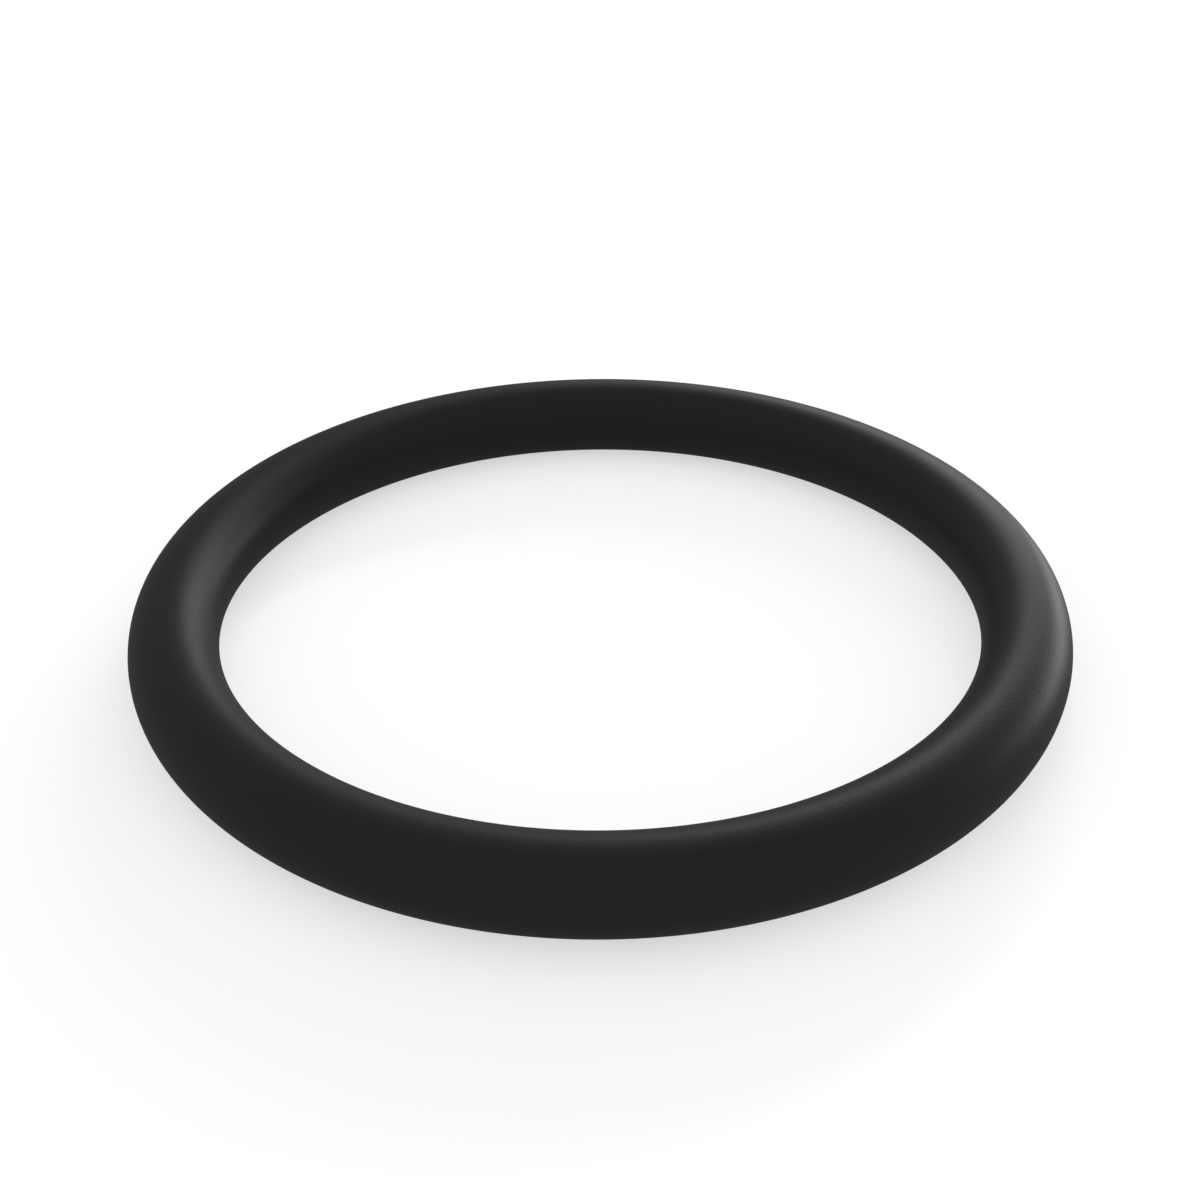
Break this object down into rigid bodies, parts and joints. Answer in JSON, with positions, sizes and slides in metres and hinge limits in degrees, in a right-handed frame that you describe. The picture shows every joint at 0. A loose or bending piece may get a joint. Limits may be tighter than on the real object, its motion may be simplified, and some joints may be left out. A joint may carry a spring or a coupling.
{
  "type": "rubber o-ring",
  "caption": "Endless black rubber sealing ring of round section that lies in a groove and seals a shaft, bore or face.",
  "frame": {"origin": "centre of the ring, on its axis and on the mid-plane of its section", "axes": "+Z along the ring's axis, so the ring lies flat; X and Y are any two directions across it, because it is the same all the way round"},
  "size_m": [0.027, 0.027, 0.0024],
  "materials": {
    "rubber": "satin black moulded rubber with a very fine grain"
  },
  "bodies": {
    "root": {"o_ring": "rubber"}
  },
  "joints": []
}
